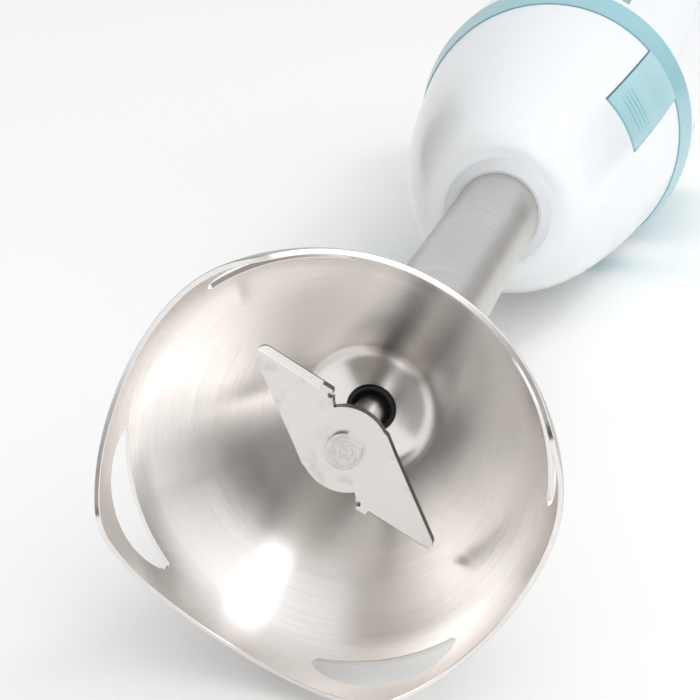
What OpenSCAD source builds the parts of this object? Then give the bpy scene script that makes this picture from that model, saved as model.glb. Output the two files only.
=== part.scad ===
// Immersion blender with a scalloped steel bell, a steel tube and a white motor handle.
// It lies on its side: the tool axis runs along +Y from the bell to the rear cap, +Z is up,
// and the origin is under the middle of the blender, on the surface that it lies on.
// Every piece is drawn along a local Z axis that starts at the tips of the bell's lobes;
// place() then lays that axis down. Angles turn about it: 0 is +X and 90 is down.

/* [Bell] */
// Outside diameter across the lobes
bell_d = 65; // [60:0.5:68]
// Inside height from the lobe tips to the roof
bell_h = 33.6; // [28:0.2:42]
// Thickness of the bell's sheet
bell_t = 0.8; // [0.6:0.1:1.4]
// Radius of the curve that turns the skirt into the cone
skirt_r = 20; // [12:0.5:24]
// Thickness of the roof around the shaft
roof_t = 1.2; // [0.8:0.1:2]
// Length of the sleeve that holds the tube
neck_len = 15; // [8:0.5:25]
// Thickness of the sleeve that holds the tube
neck_t = 0.9; // [0.6:0.1:1.5]
// How far the rim stands back between two lobes
scallop_h = 6.3; // [2:0.1:7]
// Radius of the hollows between the lobes
scallop_r = 41; // [39:0.5:60]
// Radius that rounds each lobe's tip
lobe_tip_r = 7.1; // [5:0.1:9]
// Turn of the first lobe about the tool axis
lobe_angle = 75.3; // [0:0.1:90]

/* [Bell windows] */
// Length of a window along the rim
window_len = 22; // [12:0.5:24]
// Distance from a lobe's tip to the window's front edge
window_front = 4.5; // [3:0.1:5]
// Distance from a lobe's tip to the window's straight rear edge
window_back = 9.3; // [8.5:0.1:10]
// Radius of the window's curved front edge
window_r = 18.2; // [16:0.2:30]
// Radius of the window's rounded ends
window_end_r = 0.6; // [0.4:0.1:0.8]

/* [Blade] */
// Diameter swept by the blade's tips
blade_d = 37.6; // [30:0.2:42]
// Thickness of the blade
blade_t = 1.5; // [1:0.1:2]
// Distance from the lobe tips to the blade's front face
blade_s = 15.2; // [13:0.1:20]
// Diameter of the blade's hub
blade_hub_d = 12.8; // [11:0.1:14]
// Angle between the two edges of a wing
wing_angle = 36; // [30:1:38]
// Radius of a wing's tip
wing_tip_r = 1.2; // [0.8:0.1:1.6]
// Bend of each wing out of the hub's plane
wing_bend = 5; // [0:0.5:10]
// Width of the ground cutting edge
bevel_w = 0.8; // [0.4:0.1:1.2]
// How far the cutting edge's heel stands out of the hub
heel_out = 1.4; // [1:0.1:2]
// How far the wing steps back to the hub behind the heel
heel_step = 1.5; // [1.2:0.1:2]
// Radius of the relief notch at the heel
notch_r = 0.4; // [0.3:0.1:0.6]
// Turn of the first wing about the tool axis
blade_angle = 230; // [0:1:359]

/* [Drive shaft] */
// Diameter of the drive shaft
shaft_d = 4.6; // [4:0.1:5.4]
// Diameter of the riveted head in front of the blade
rivet_d = 5.4; // [4.8:0.1:6.4]
// Height of the riveted head
rivet_h = 0.7; // [0.4:0.1:1.2]
// Diameter of the stub that carries the blade
stub_d = 3.8; // [3:0.1:4.2]
// Depth of the flat that keys the blade to the stub
key_depth = 0.4; // [0.3:0.1:0.5]
// Radial clearance of a shaft in its bush
shaft_fit = 0.05; // [0.02:0.01:0.1]
// Outside diameter of the shaft seal
seal_d = 7.2; // [6.6:0.1:9]
// Length of the shaft seal
seal_len = 3; // [2:0.1:4]
// Length of each shaft bush
bush_len = 11; // [8:0.5:16]

/* [Tube] */
// Outside diameter of the tube
tube_d = 17.4; // [15:0.2:20]
// Wall of the tube
tube_t = 0.8; // [0.6:0.1:1.5]
// Length of the tube
tube_len = 178.7; // [150:0.1:210]
// Depth to which the tube sits in the coupling cone
tube_seat = 50; // [44:0.5:56]

/* [Coupling cone] */
// Length of the coupling cone
cone_len = 84; // [76:0.5:92]
// Diameter of the cone's front end
cone_front_d = 23.2; // [22.4:0.2:26]
// Step from the cone's rear edge up to the coloured ring
cone_step = 0.3; // [0.1:0.1:1]
// Fullness of the cone: its radius grows with this power of the length, and less is fuller
cone_power = 0.4; // [0.36:0.01:0.5]
// Wall of the cone
cone_wall = 2.4; // [1.8:0.1:3]
// Outside diameter of the spigot that plugs into the handle
spigot_d = 44; // [40:0.5:44]
// Wall of the spigot
spigot_wall = 2.2; // [1.6:0.1:3]
// Depth to which the spigot plugs into the handle
spigot_len = 6.5; // [5:0.1:7]

/* [Handle] */
// Diameter of the handle
body_d = 69; // [66:0.2:72]
// Wall of the handle's shells
body_wall = 2.5; // [2.2:0.1:2.6]
// Length of the shells behind the coloured ring
body_len = 110; // [108:1:130]
// Width of the coloured ring
ring_w = 14; // [13.5:0.5:20]
// Thickness of the coloured ring at its front edge
ring_t = 1.6; // [1.2:0.1:1.8]
// How much the coloured ring's radius grows from front to rear
ring_flare = 2; // [1:0.1:3]
// Length of the rear cap
cap_len = 16; // [14:0.5:24]
// Rounding of the rear cap's edge
cap_round = 10; // [6:0.5:12]
// Angle of the side that carries the switches
control_angle = 240; // [0:1:359]
// Gap between pieces that move past each other
gap = 0.3; // [0.2:0.05:0.4]
// Width of a cooling vent
vent_w = 1.8; // [1:0.1:2.5]
// Length of a cooling vent
vent_len = 9; // [4:0.5:12]

/* [Release buttons] */
// Width of a release button
release_w = 13; // [9:0.5:14]
// Length of the tongue that lies over the cone
release_len = 49.5; // [36:0.5:52]
// Thickness of the tongue
release_t = 1.8; // [1.4:0.1:2]
// How far the tongue stands out of the cone
release_proud = 0.4; // [0.2:0.1:0.6]
// Travel of a release button
release_travel = 2; // [1:0.1:2]

/* [Switches] */
// Diameter of the power button
power_d = 16; // [13:0.5:17]
// Diameter of the turbo button
turbo_d = 12.4; // [10:0.2:13]
// Distance from the motor's rear bracket to the switch board
board_gap = 1.5; // [1:0.5:3]
// Gap between the two buttons, measured outside the panel
button_gap = 3.8; // [3.6:0.1:4.5]
// How far the buttons stand out of the panel
button_proud = 2; // [1.8:0.1:3]
// Travel of the buttons
button_travel = 1.6; // [0.8:0.1:1.8]
// Width of the button's inner flange
flange_w = 1.6; // [1:0.1:1.8]
// Diameter of the speed dial
dial_d = 24; // [18:0.5:25]
// Height of the speed dial above the rear cap
dial_h = 4; // [3:0.2:7]
// Number of finger grooves around the speed dial
dial_grooves = 18; // [8:1:24]

/* [Motor] */
// Diameter of the motor's core
core_d = 52; // [48:0.5:52]
// Length of the motor's core
core_len = 24; // [18:0.5:26]
// Diameter of the armature
armature_d = 26.8; // [24:0.2:27]
// Gap between the armature and the core
air_gap = 0.6; // [0.4:0.1:0.8]
// Diameter of the motor shaft
motor_shaft_d = 6; // [5:0.2:7]
// Diameter of the cooling fan
fan_d = 38; // [30:0.5:38]
// Number of fan blades
fan_blades = 9; // [5:1:12]
// Diameter of the commutator
commutator_d = 16; // [14:0.5:18]

/* [Cord inlet] */
// Diameter of the cord that the gland takes
cord_d = 6.8; // [5:0.2:7]
// Wall of the gland around the cord
gland_wall = 2.1; // [1.4:0.1:2.4]

/* [Hidden] */
$fn = 96;
eps = 0.01;

// Bell and foot, measured from the lobe tips
bell_r = bell_d / 2;
tube_r = tube_d / 2;
shaft_r = shaft_d / 2;
neck_r = tube_r + neck_t;
roof_s = bell_h + roof_t;
neck_end = roof_s + neck_len;
skirt_c = bell_r - skirt_r;
skirt_to_neck = norm([neck_r - skirt_c, roof_s]);
skirt_angle = atan2(roof_s, neck_r - skirt_c) - acos(skirt_r / skirt_to_neck);
tube_end = roof_s + tube_len;
seal_s = bell_h - 0.4;
bush_r = tube_r - tube_t;
upper_bush_s = tube_end - bush_len + 5;

// Blade: half angle of a wing, where its two edges would meet, and the cutting edge's heel
wing_half = wing_angle / 2;
wing_apex = blade_d / 2 + wing_tip_r * (1 / sin(wing_half) - 1);
wing_heel = blade_hub_d / 2 + heel_out;

// Coupling cone
body_r = body_d / 2;
cone_s = tube_end - tube_seat;
cone_end = cone_s + cone_len;
cone_rear_r = body_r - ring_flare - cone_step;
cone_hub_r = tube_r + 2.3;
spigot_r = spigot_d / 2;
spigot_end = cone_end + gap + spigot_len;
web_t = 3;
web_depth = 9.7;
web_s = cone_end - web_depth;

// Handle
ring_s = cone_end + gap;
shell_s = ring_s + ring_w;
cap_s = shell_s + body_len;
cap_end = cap_s + cap_len;
total_len = cap_end + dial_h;
axis_h = max(bell_r, body_r);
shell_in_r = body_r - body_wall;
lip_out_r = body_r - ring_flare - ring_t;
lip_t = 2.2;
lip_in_r = lip_out_r - lip_t;
shoulder_end = shell_s + 2.5;
vent_pitch = 9;
lip_s = ring_s + 1;
socket_r = spigot_r + gap;
socket_s = ring_s + 0.5;

// Front bracket of the motor, with the pocket of the release springs
bracket_s = spigot_end + 1;
bracket_end = shoulder_end + 2.5;
bracket_vent_r = 2.6;
bracket_vent_x = socket_r - bracket_vent_r - 0.7;
vent_s = bracket_end + 1;
bearing_len = 6;
bearing_r = 8;
spring_s = bracket_s + 3.5;
spring_wire_r = 0.35;
release_spring_r = 1.8;
release_pocket_r = 2.5;

// Release buttons
release_angle = control_angle + 90;
release_slot_w = release_w + 2 * gap;
release_front = cone_end - release_len;
release_neck_t = 2.4;
release_neck_out = lip_out_r - gap;
release_neck_in = release_neck_out - release_neck_t;
release_block = 5.7;
release_slot_floor = spigot_r + 0.1;
release_neck_end = spring_s + 2.7;
peg_r = 1.1;
peg_len = 3;
release_spring_pressed = 7.2;
release_pocket_floor = release_neck_in - peg_len - release_travel - release_spring_pressed;

// Motor, from front to rear
fan_s = bracket_end + 2.5;
fan_len = 7;
core_s = fan_s + fan_len + 3.5;
core_end = core_s + core_len;
winding_len = 4;
commutator_s = core_end + winding_len + 1;
commutator_len = 9;
rear_bracket_s = commutator_s + commutator_len + 2;
rear_bracket_t = 4;
rear_bearing_r = 6.5;
rear_bearing_len = 5;
rear_boss_len = 4;
rear_bearing_s = rear_bracket_s + rear_bracket_t + rear_boss_len - rear_bearing_len;
motor_shaft_end = rear_bracket_s + rear_bracket_t + rear_boss_len + 1;
motor_shaft_r = motor_shaft_d / 2;
core_r = core_d / 2;
rear_bracket_r = core_r - 2;
rear_vent_r = 4;
rear_vent_x = rear_bracket_r - 2 * rear_vent_r;
screw_ring_r = core_r - 4.5;
motor_screw_r = 1.5;
brush_r = commutator_d / 2 + gap;
brush_len = 10;
brush_w = 5;
brush_depth = 5.5;
holder_t = 1.2;
coil_pole_w = 16;
coil_side_w = 4;
coil_in = armature_d / 2 + air_gap + 0.8;
coil_out = core_r - 5.6;

// Dog couplers between the foot and the motor
coupler_r = 7.4;
dog_count = 3;
dog_angle = 50;
dog_in_r = 3.7;
dog_out_r = coupler_r - 0.4;
dog_len = 8;
coupler_len = 6;
driven_s = ring_s - dog_len - coupler_len;
drive_base_s = ring_s + 0.5;

// Switches, measured outward from the tool axis on the control side
flat_r = body_r - 2.8;
flat_in_r = flat_r - body_wall;
panel_t = 1.2;
panel_seat = 0.6;
panel_w = 21;
panel_margin = 1.5;
panel_top = flat_r - panel_seat + panel_t;
button_top = panel_top + button_proud;
flange_t = 1.4;
flange_top = flat_in_r - gap;
board_t = 1.6;
switch_w = 6;
switch_h = 4;
plunger_h = 0.8;
plunger_r = 1.5;
board_top = flange_top - flange_t - button_travel - gap - plunger_h - switch_h;
board_w = 30;
board_s = rear_bracket_s + rear_bracket_t + board_gap;
power_center = board_s + power_d / 2 + 0.5;
turbo_center = power_center + power_d / 2 + turbo_d / 2 + button_gap;
board_end = turbo_center + turbo_d / 2 + 1.8;
flat_margin = 6;
flat_s = power_center - power_d / 2 - flat_margin;
flat_end = turbo_center + turbo_d / 2 + 3.8;
post_r = 2;
post_x = 12.5;
post_inset = 2.5;

// Screws that close the shells
screw_x = 21.5;
screw_places = [power_center - 1, turbo_center + 3];
boss_r = 4.2;
boss_len = sqrt(pow(body_r, 2) - pow(screw_x + boss_r, 2)) - 0.3;
screw_r = 1.5;
screw_head_r = 3;
screw_head_h = 2;
screw_head_depth = boss_len - 3;
screw_reach = 9;

// Soft grip on the side away from the switches
grip_t = 1.2;
grip_half_angle = 31;
grip_s = vent_s + vent_len + 4;
grip_len = 66;
grip_grooves = 11;
groove_w = 2;
groove_depth = 0.5;

// Rear cap with the speed dial and the cord inlet
cap_wall = body_wall + 0.5;
cap_spigot_s = flat_end + body_wall + 0.5;
dial_x = 8;
dial_r = dial_d / 2;
dial_recess = 2;
dial_stem_r = 3;
control_r = 8;
control_len = 9;
gland_x = -14;
gland_r = cord_d / 2 + gland_wall;
gland_flange_r = gland_r + 1.5;
gland_flange_t = 1.5;

// Lays the tool axis down along +Y, with the blender resting on z = 0
module place() {
    translate([0, -total_len / 2, axis_h]) rotate([-90, 0, 0]) children();
}

// Turns children so that their +X points along an angle about the tool axis
module facing(angle) {
    rotate([0, 0, angle]) children();
}

// A straight pipe or a solid rod between two stations on the tool axis
module rod(r, from, to) {
    translate([0, 0, from]) cylinder(r = r, h = to - from);
}
module pipe(r_out, r_in, from, to) {
    difference() {
        rod(r_out, from, to);
        rod(r_in, from - 1, to + 1);
    }
}

// Extrudes an outline outward along +X; its x runs sideways and its y along the tool axis
module radial(from, to) {
    translate([from, 0, 0]) rotate([90, 0, 90]) linear_extrude(to - from) children();
}

// A block that faces +X: depths along X, width across, stations along the tool axis
module block(from_r, to_r, width, from_s, to_s) {
    translate([from_r, -width / 2, from_s]) cube([to_r - from_r, width, to_s - from_s]);
}

// ---------- Bell ----------

// Point of the skirt's curve at a turn angle, for the outside (t = 0) or the inside face
function skirt_point(angle, t) =
    [skirt_c + (skirt_r - t) * cos(angle), (skirt_r - t) * sin(angle)];

// Radius of the inside face of the cone at a station behind the skirt
function cone_inside_r(s) =
    skirt_point(skirt_angle, bell_t)[0] - (s - skirt_point(skirt_angle, bell_t)[1]) * tan(skirt_angle);

module bell_section() {
    steps = 16;
    outside = [for (i = [0:steps]) skirt_point(skirt_angle * i / steps, 0)];
    inside = [for (i = [steps:-1:0]) skirt_point(skirt_angle * i / steps, bell_t)];
    polygon(concat(
        outside,
        [[neck_r, roof_s], [neck_r, neck_end], [tube_r, neck_end], [tube_r, roof_s],
         [seal_d / 2, roof_s], [seal_d / 2, bell_h], [cone_inside_r(bell_h), bell_h]],
        inside));
}

// Outline of one window: curved in front, straight behind, with rounded ends
module window_outline() {
    half = window_len / 2 - window_end_r;
    intersection() {
        translate([0, window_front + window_r]) circle(r = window_r);
        translate([-half, window_front]) square([2 * half, window_back - window_front]);
    }
    for (side = [-1, 1])
        translate([side * half, window_back - window_end_r]) circle(r = window_end_r);
}

// What the rounding takes off beside a lobe's tip
module lobe_rounding() {
    half = 0.46 * lobe_tip_r;
    difference() {
        translate([-half, -1]) square([2 * half, 1 + half / 4]);
        translate([0, lobe_tip_r]) circle(r = lobe_tip_r);
    }
}

module bell() color("silver") place() {
    difference() {
        rotate_extrude() bell_section();
        for (turn = [0, 90]) facing(lobe_angle + 45 + turn)
            radial(-bell_r - 1, bell_r + 1)
                translate([0, scallop_h - scallop_r]) circle(r = scallop_r);
        for (turn = [0, 90]) facing(lobe_angle + turn)
            radial(-bell_r - 1, bell_r + 1) lobe_rounding();
        for (turn = [0:90:270]) facing(lobe_angle + turn)
            radial(bell_r / 2, bell_r + 1) window_outline();
    }
}

// ---------- Shaft, seal and bushes ----------

module shaft_seal() color("#1c1c1e") place() {
    difference() {
        rod(seal_d / 2, seal_s, seal_s + seal_len);
        rod(shaft_r + shaft_fit, seal_s - 1, seal_s + seal_len + 1);
        translate([0, 0, seal_s - eps])
            cylinder(r1 = seal_d / 2 - 0.5, r2 = shaft_r + shaft_fit, h = 1);
    }
}

module lower_bush() color("#b08d57") place() {
    difference() {
        rod(bush_r, roof_s, roof_s + bush_len);
        rod(shaft_r + shaft_fit, roof_s - 1, roof_s + bush_len + 1);
        rod(seal_d / 2, roof_s - 1, seal_s + seal_len);
        pipe(bush_r + 1, bush_r - 1.2, roof_s + 4, roof_s + bush_len - 3);
    }
}

module upper_bush() color("#b08d57") place() {
    difference() {
        union() {
            rod(bush_r, upper_bush_s, upper_bush_s + bush_len);
            rod(tube_r, tube_end, upper_bush_s + bush_len);
        }
        rod(shaft_r + shaft_fit, upper_bush_s - 1, upper_bush_s + bush_len + 1);
    }
}

// The flat that keys the blade to the shaft's stub and shows on the riveted head
module keyed_rod(r, flat_at, from, to) {
    difference() {
        rod(r, from, to);
        facing(314) block(flat_at, r + 1, 3 * r, from - 1, to + 1);
    }
}

module drive_shaft() color("#d8d8da") place() {
    keyed_rod(rivet_d / 2, rivet_d / 2 - key_depth, blade_s - rivet_h, blade_s);
    keyed_rod(stub_d / 2, stub_d / 2 - key_depth, blade_s - eps, blade_s + blade_t + eps);
    rod(shaft_r, blade_s + blade_t, driven_s + coupler_len);
}

// ---------- Blade ----------

// One wing, lying along +X, with its cutting edge on the +Y side and a relief notch at its heel
module wing_outline() {
    tip_side = wing_tip_r * [sin(wing_half), cos(wing_half)];
    tip_x = wing_apex - wing_tip_r / sin(wing_half);
    root = wing_apex * sin(wing_half) * [sin(wing_half), -cos(wing_half)];
    difference() {
        union() {
            polygon([
                [0, 0],
                root - [blade_hub_d / 4, -wing_tip_r / 4],
                root,
                [tip_x + tip_side[0], -tip_side[1]],
                [tip_x + tip_side[0], tip_side[1]],
                [wing_heel, (wing_apex - wing_heel) * tan(wing_half)],
                [wing_heel - heel_step, blade_hub_d / 4]]);
            translate([tip_x, 0]) circle(r = wing_tip_r);
        }
        translate([wing_heel - notch_r, (wing_apex - wing_heel) * tan(wing_half) - heel_step / 2])
            circle(r = notch_r);
    }
}

// The sheet the blade is cut from, seen along Y: one wing bends forward, the other back
module bent_sheet() {
    reach = blade_d / 2 + blade_t;
    fold = blade_hub_d / 2 - blade_t;
    drop = (reach - fold) * tan(wing_bend);
    mitre = blade_t * tan(wing_bend / 2);
    thick = blade_t / cos(wing_bend);
    rotate([90, 0, 0]) linear_extrude(blade_d, center = true) polygon([
        [-reach, drop], [-fold, 0], [fold, 0], [reach, -drop],
        [reach, thick - drop], [fold + mitre, blade_t], [mitre - fold, blade_t],
        [-reach, thick + drop]]);
}

// The wedge that grinding takes off the front of a cutting edge; bend follows its wing
module wing_bevel(bend) {
    fold = blade_hub_d / 2 - blade_t;
    ground = (wing_apex - wing_heel - heel_step) / cos(wing_half);
    translate([fold, 0, 0]) rotate([0, bend, 0]) translate([wing_apex - fold, 0, 0])
        rotate([0, 0, -wing_half]) translate([-ground, -bevel_w, 0])
            rotate([atan(0.8 * blade_t / bevel_w), 0, 0])
                translate([0, 0, -blade_t * 2]) cube([ground, bevel_w * 3, blade_t * 2]);
}

module blade() color("#c9c9cc") place() {
    difference() {
        translate([0, 0, blade_s]) facing(blade_angle) difference() {
            intersection() {
                bent_sheet();
                translate([0, 0, -blade_d / 4]) linear_extrude(blade_d / 2) {
                    circle(d = blade_hub_d);
                    wing_outline();
                    rotate(180) wing_outline();
                }
            }
            wing_bevel(wing_bend);
            rotate([0, 0, 180]) wing_bevel(-wing_bend);
        }
        keyed_rod(stub_d / 2, stub_d / 2 - key_depth, blade_s - 1, blade_s + blade_t + 1);
    }
}

// ---------- Foot ----------

module foot_tube() color("#c4c6c8") place()
    pipe(tube_r, bush_r, roof_s, tube_end);

module tube_collar() color("#e6e8ea") place() {
    difference() {
        union() {
            rod(cone_front_d / 2 - 0.4, cone_s - 1.6, cone_s);
            translate([0, 0, cone_s - 3])
                cylinder(r1 = tube_r + 0.6, r2 = cone_front_d / 2 - 0.4, h = 1.4);
        }
        rod(tube_r, cone_s - 4, cone_s + 1);
    }
}

// Radius of the cone's outside at a station on the tool axis
function cone_r(s) =
    let (t = max(0, min(1, (s - cone_s) / cone_len)))
    cone_front_d / 2 + (cone_rear_r - cone_front_d / 2) * pow(t, cone_power);

// Outline of the cone grown by an amount, cut off at two stations
module cone_outline(grow, from, to) {
    steps = 26;
    stations = [for (i = [0:steps]) from + (to - from) * pow(i / steps, 3)];
    polygon(concat(
        [[0, from]],
        [for (s = stations) [cone_r(s) + grow, s]],
        [[0, to]]));
}

// Rings on the tool axis as outlines for rotate_extrude
module ring_outline(r_in, r_out, from, to) {
    translate([r_in, from]) square([r_out - r_in, to - from]);
}

module coupling_cone() color("#f5f7f8") place() {
    hub_end = tube_end + 3;
    difference() {
        rotate_extrude() {
            difference() {
                cone_outline(0, cone_s, cone_end);
                intersection() {
                    cone_outline(-cone_wall, cone_s, cone_end + 1);
                    ring_outline(cone_hub_r, body_r, cone_s + cone_wall, cone_end + 1);
                }
                ring_outline(0, tube_r, cone_s - 1, cone_end + 1);
                ring_outline(0, cone_hub_r + 1, hub_end, cone_end + 1);
            }
            ring_outline(cone_hub_r - 0.5, cone_r(tube_end) - cone_wall / 2, tube_end, hub_end);
            ring_outline(spigot_r - spigot_wall, cone_r(web_s) - cone_wall / 2, web_s, web_s + web_t);
            ring_outline(spigot_r - spigot_wall, spigot_r, web_s, spigot_end);
        }
        for (side = [0, 180]) facing(release_angle + side)
            block(release_slot_floor, body_r + 1, release_slot_w,
                release_front - gap, cone_end + 1);
    }
}

// ---------- Couplers ----------

// Sectors of a ring that stand side by side with the other coupler's sectors
module dogs(turn, from, to) {
    reach = 2 * coupler_r;
    half = dog_angle / 2;
    translate([0, 0, from]) linear_extrude(to - from)
        for (i = [0:dog_count - 1]) rotate(turn + i * 360 / dog_count)
            intersection() {
                difference() {
                    circle(r = dog_out_r);
                    circle(r = dog_in_r);
                }
                polygon([[0, 0], [reach * cos(half), -reach * sin(half)],
                    [reach * cos(half), reach * sin(half)]]);
            }
}

module driven_coupler() color("#3a3d40") place() {
    difference() {
        union() {
            rod(coupler_r, driven_s, driven_s + coupler_len);
            dogs(0, driven_s + coupler_len - eps, ring_s);
        }
        rod(shaft_r, driven_s - 1, driven_s + coupler_len + 1);
    }
}

module drive_coupler() color("#3a3d40") place() {
    difference() {
        union() {
            rod(coupler_r, drive_base_s, drive_base_s + coupler_len);
            dogs(180 / dog_count, driven_s + coupler_len + gap, drive_base_s + eps);
        }
        rod(motor_shaft_r, drive_base_s - 1, drive_base_s + coupler_len + 1);
    }
}

// ---------- Motor ----------

module motor_shaft() color("#b9bcc0") place()
    rod(motor_shaft_r, drive_base_s, motor_shaft_end);

module cooling_fan() color("#2f3236") place() {
    difference() {
        union() {
            rod(motor_shaft_r + 2.5, fan_s, fan_s + fan_len);
            rod(fan_d / 2, fan_s, fan_s + 1.2);
            for (i = [0:fan_blades - 1]) facing(i * 360 / fan_blades)
                translate([motor_shaft_r + 1.5, -0.6, fan_s + 1])
                    rotate([0, 0, 12]) cube([fan_d / 2 - motor_shaft_r - 3, 1.2, fan_len - 1]);
        }
        rod(motor_shaft_r, fan_s - 1, fan_s + fan_len + 1);
    }
}

module armature() color("#7d6a52") place() {
    slots = 12;
    difference() {
        union() {
            rod(armature_d / 2, core_s, core_end);
            rod(armature_d / 2 - 2.5, core_s - winding_len + 1, core_end + winding_len);
        }
        for (i = [0:slots - 1]) facing(i * 360 / slots)
            block(armature_d / 2 - 1.2, armature_d, 1.4, core_s - 1, core_end + 1);
        rod(motor_shaft_r, core_s - winding_len, core_end + winding_len + 1);
    }
}

module commutator() color("#b87333") place() {
    bars = 24;
    difference() {
        rod(commutator_d / 2, commutator_s, commutator_s + commutator_len);
        for (i = [0:bars - 1]) facing(i * 360 / bars)
            block(commutator_d / 2 - 0.5, commutator_d, 0.4,
                commutator_s - 1, commutator_s + commutator_len - 1.5);
        rod(motor_shaft_r, commutator_s - 1, commutator_s + commutator_len + 1);
    }
}

module motor_core() color("#8a8d90") place() {
    difference() {
        rod(core_r, core_s, core_end);
        rod(armature_d / 2 + air_gap, core_s - 1, core_end + 1);
        for (side = [0, 180]) facing(control_angle + side)
            for (flank = [-1, 1])
                translate([0, flank * (coil_pole_w + coil_side_w) / 2, 0])
                    block(5, coil_out + 0.1, coil_side_w + 0.2, core_s - 1, core_end + 1);
        motor_screw_places() rod(motor_screw_r + 0.2, core_s - 1, core_end + 1);
    }
}

// Each coil is a flat loop around one pole of the core
module field_coils() color("#a4572c") place() {
    outer_w = coil_pole_w + 2 * coil_side_w;
    for (side = [0, 180]) facing(control_angle + side)
        difference() {
            block(coil_in, coil_out, outer_w, core_s - winding_len + 1, core_end + winding_len);
            block(coil_in - 1, coil_out + 1, coil_pole_w, core_s - 0.4, core_end + 0.4);
        }
}

// The two long screws stand on opposite sides of the core
module motor_screw_places() {
    for (side = [45, 225]) facing(control_angle + side)
        translate([screw_ring_r, 0, 0]) children();
}

module motor_screws() color("#a9adb1") place() {
    head_s = rear_bracket_s + rear_bracket_t;
    motor_screw_places() {
        rod(motor_screw_r, bracket_end - 3, head_s + eps);
        difference() {
            rod(2 * motor_screw_r, head_s, head_s + 2);
            translate([-0.4, -2 * motor_screw_r, head_s + 1.2])
                cube([0.8, 4 * motor_screw_r, 2]);
        }
    }
}

module front_bracket() color("#4a4e52") place() {
    difference() {
        union() {
            rod(lip_in_r, socket_s, shoulder_end);
            rod(shell_in_r, shoulder_end, bracket_end);
        }
        rod(socket_r, socket_s - 1, bracket_s);
        rod(bearing_r, bracket_end - bearing_len, bracket_end + 1);
        rod(motor_shaft_r + 0.5, bracket_s - 1, bracket_end + 1);
        motor_screw_places() rod(motor_screw_r, bracket_end - 3, bracket_end + 1);
        for (side = [0, 180]) facing(release_angle + side) {
            block(release_slot_floor, body_r, release_slot_w, socket_s - 1, shell_s);
            translate([release_pocket_floor, 0, spring_s]) rotate([0, 90, 0])
                cylinder(r = release_pocket_r, h = body_r);
        }
        for (turn = [30:30:330]) if (turn % 90 != 0) facing(control_angle + turn)
            translate([bracket_vent_x, 0, 0]) rod(bracket_vent_r, bracket_s - 1, bracket_end + 1);
    }
}

module rear_bracket() color("#4a4e52") place() {
    plate_end = rear_bracket_s + rear_bracket_t;
    difference() {
        union() {
            rod(rear_bracket_r, rear_bracket_s, plate_end);
            rod(rear_bearing_r + 2, rear_bracket_s, plate_end + rear_boss_len);
        }
        rod(rear_bearing_r, rear_bearing_s, plate_end + rear_boss_len + 1);
        rod(motor_shaft_r + 0.5, rear_bracket_s - 1, plate_end + rear_boss_len);
        motor_screw_places() rod(motor_screw_r + 0.2, rear_bracket_s - 1, plate_end + 1);
        for (side = [-45, 135]) facing(control_angle + side)
            translate([rear_vent_x, 0, 0]) rod(rear_vent_r, rear_bracket_s - 1, plate_end + 1);
    }
}

module front_bearing() color("#c08f4f") place()
    pipe(bearing_r, motor_shaft_r + shaft_fit, bracket_end - bearing_len, bracket_end);

module rear_bearing() color("#c08f4f") place()
    pipe(rear_bearing_r, motor_shaft_r + shaft_fit, rear_bearing_s,
        rear_bearing_s + rear_bearing_len);

// Brushes bear on the commutator from both sides, each in a holder on the rear bracket
module brush_holders() color("#2b2b2d") place() {
    for (side = [90, 270]) facing(control_angle + side) difference() {
        block(brush_r + 1, brush_r + brush_len + 2, brush_w + 2 * holder_t,
            commutator_s, rear_bracket_s);
        block(brush_r, brush_r + brush_len, brush_w,
            commutator_s + holder_t, commutator_s + holder_t + brush_depth);
    }
}

module carbon_brushes() color("#151515") place() {
    for (side = [90, 270]) facing(control_angle + side)
        block(brush_r, brush_r + brush_len, brush_w,
            commutator_s + holder_t, commutator_s + holder_t + brush_depth);
}

// ---------- Handle shells ----------

// Section of the shells' wall, with the lip that the coloured ring grips
module shell_section() {
    polygon([[lip_in_r, lip_s], [lip_out_r, lip_s], [lip_out_r, shell_s], [body_r, shell_s],
        [body_r, cap_s], [shell_in_r, cap_s], [shell_in_r, shoulder_end],
        [lip_in_r, shoulder_end]]);
}

// Half of the wall, on the +X side of the plane through both release buttons
module shell_half() {
    rotate([0, 0, -90]) rotate_extrude(angle = 180) shell_section();
}

// Ways through the lip for the release buttons' necks, and the vents beside the fan
module shell_openings() {
    for (side = [-90, 90]) facing(side)
        block(release_slot_floor, lip_out_r + 1, release_slot_w, lip_s - 1, shell_s);
    for (side = [-40, 40]) for (i = [-2:2]) facing(side + vent_pitch * i)
        block(shell_in_r - 1, body_r + 1, vent_w, vent_s, vent_s + vent_len);
}

// Stations and sideways places of the screws that close the shells
module screw_columns() {
    for (s = screw_places) for (x = [-screw_x, screw_x])
        translate([0, x, s]) rotate([0, 90, 0]) children();
}

module housing_front() color("#f5f7f8") place() facing(control_angle) {
    difference() {
        union() {
            shell_half();
            intersection() {
                rod(shell_in_r + 0.5, flat_s - body_wall, flat_end + body_wall);
                block(flat_in_r, body_r, 2 * body_r, flat_s - body_wall, flat_end + body_wall);
            }
            screw_columns() cylinder(r = boss_r, h = boss_len);
            for (x = [-post_x, post_x]) for (s = [board_s + post_inset, board_end - post_inset])
                translate([board_top, x, s]) rotate([0, 90, 0])
                    cylinder(r = post_r, h = flat_in_r - board_top + 1);
        }
        block(flat_r, body_r + 1, 2 * body_r, flat_s, flat_end);
        shell_openings();
        screw_columns() translate([0, 0, -1]) cylinder(r = screw_r, h = screw_reach + 1);
        button_holes();
        radial(flat_r - panel_seat, body_r + 2) panel_outline(0.1);
    }
}

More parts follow.
